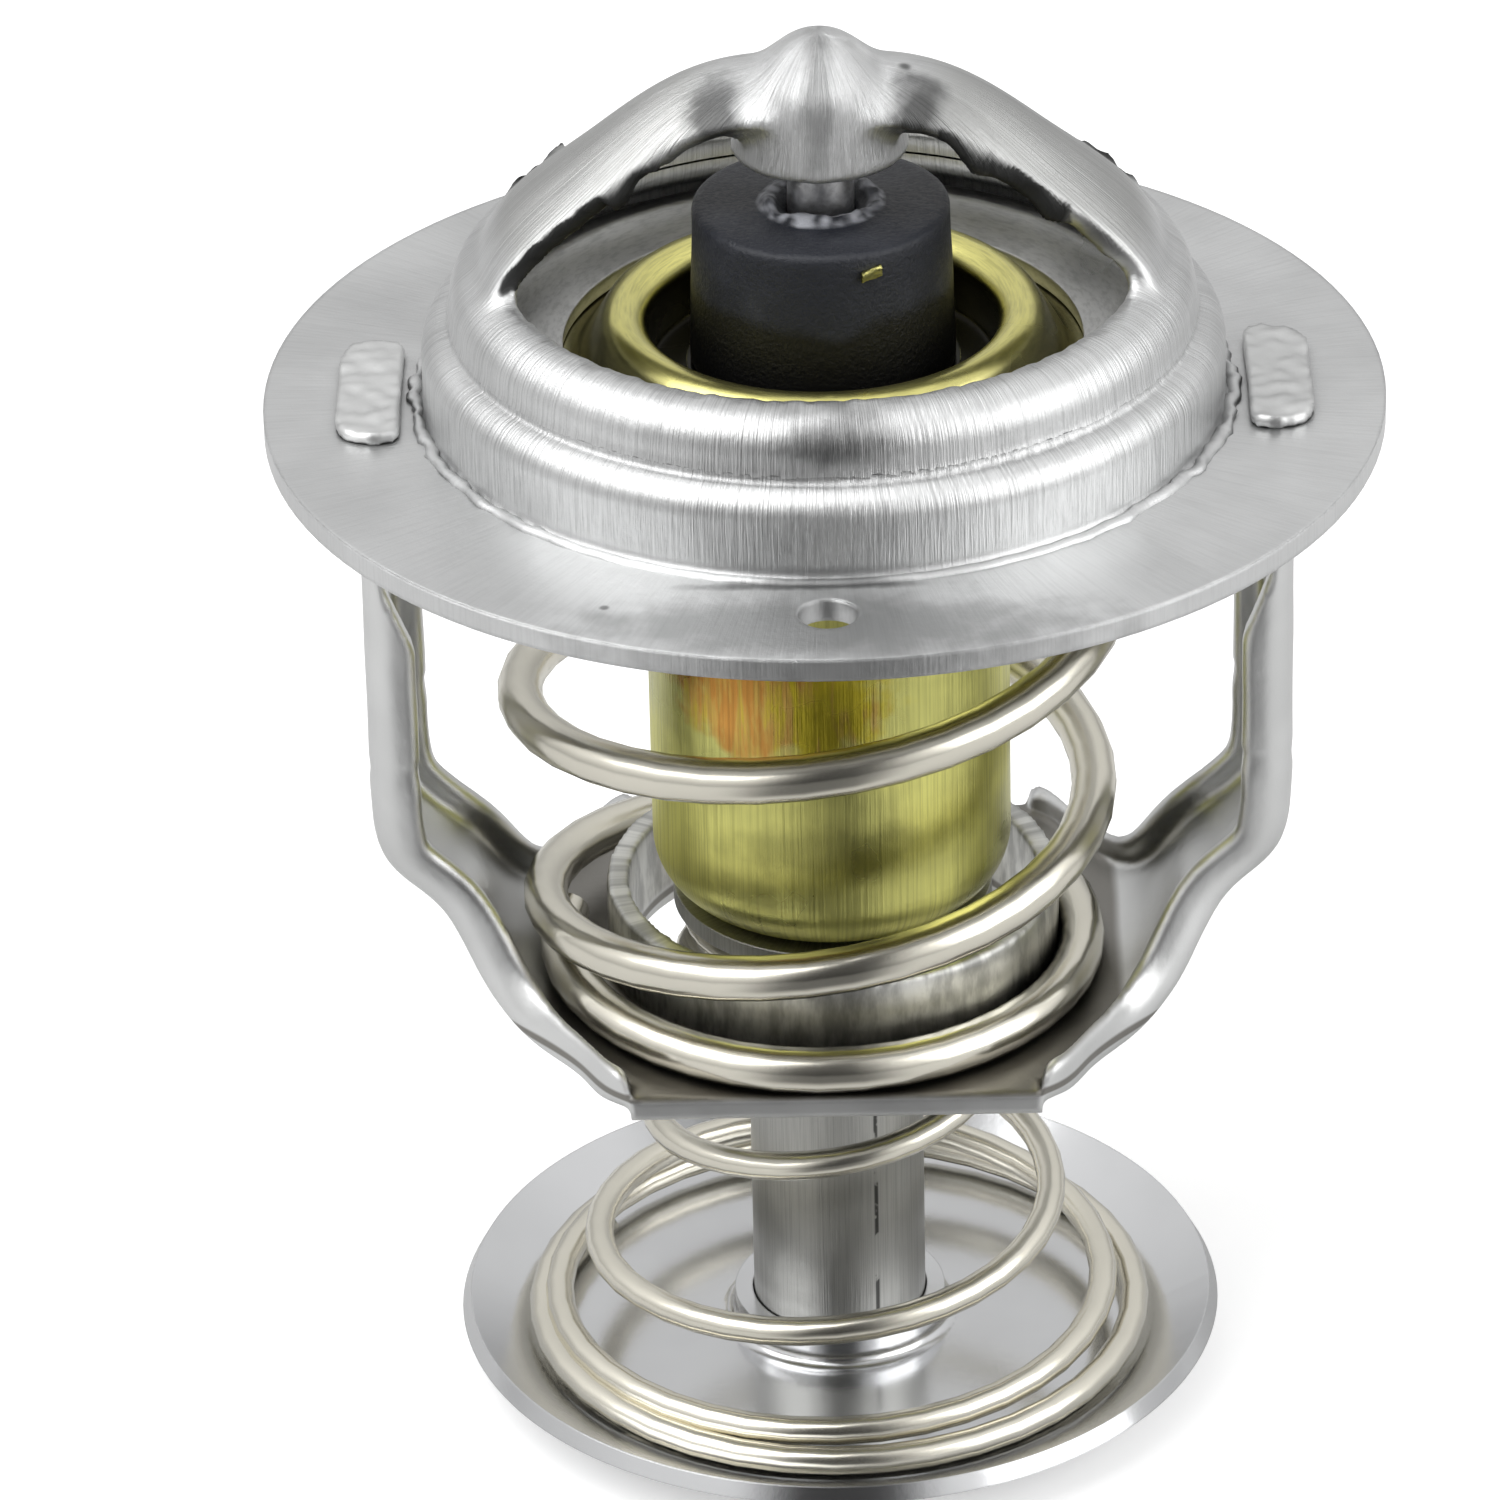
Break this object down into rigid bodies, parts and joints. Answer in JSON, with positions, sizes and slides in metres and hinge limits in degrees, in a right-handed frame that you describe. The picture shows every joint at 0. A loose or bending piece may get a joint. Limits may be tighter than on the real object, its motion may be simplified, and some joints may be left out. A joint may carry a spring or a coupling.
{
  "type": "engine thermostat",
  "caption": "Wax-element coolant valve with a round mounting flange, a bridge over the outlet, a coil spring in a two-legged frame and a sprung bypass dish on a stem.",
  "frame": {"origin": "on the valve's axis, at the top face of the mounting flange", "axes": "+Z along the axis towards the outlet and the bridge; the bridge and the frame's legs run along X; the air bleed hole is towards -Y"},
  "size_m": [0.054, 0.054, 0.0731],
  "materials": {
    "pressed_steel": "satin, brushed round the dome",
    "seat_steel": "satin",
    "frame_steel": "satin, pressed",
    "piston_steel": "ground bright",
    "spring_wire": "smooth drawn wire",
    "valve_brass": "bright, turned edge",
    "case_brass": "bright, heat tint near the top",
    "wax": "waxy",
    "bush_brass": "turned",
    "hard_plastic": "plain",
    "sleeve_rubber": "moulded",
    "cap_rubber": "moulded, matt",
    "stem_steel": "drawn, dull",
    "bypass_wire": "smooth drawn wire",
    "dish_steel": "polished floor, satin rim"
  },
  "bodies": {
    "frame": {"flange_bridge": "pressed_steel", "seat_ring": "seat_steel", "lower_frame": "frame_steel", "piston": "piston_steel", "main_spring": "spring_wire"},
    "element": {"main_valve": "valve_brass", "wax_case": "case_brass", "wax_charge": "wax", "guide_bush": "bush_brass", "backing_ring": "hard_plastic", "rubber_sleeve": "sleeve_rubber", "rubber_cap": "cap_rubber", "bypass_stem": "stem_steel", "bypass_spring": "bypass_wire"},
    "bypass": {"bypass_valve": "dish_steel"}
  },
  "joints": [
    {"name": "element_slide", "type": "slide", "parent": "frame", "child": "element", "axis": [0, 0, -1], "range_m": [0, 0.008], "stiffness_N_per_m": 4000, "springref_m": -0.012, "deforming": ["main_spring"]},
    {"name": "bypass_slide", "type": "slide", "parent": "element", "child": "bypass", "axis": [0, 0, 1], "range_m": [0, 0.006], "stiffness_N_per_m": 900, "springref_m": -0.012, "deforming": ["bypass_spring"]}
  ]
}
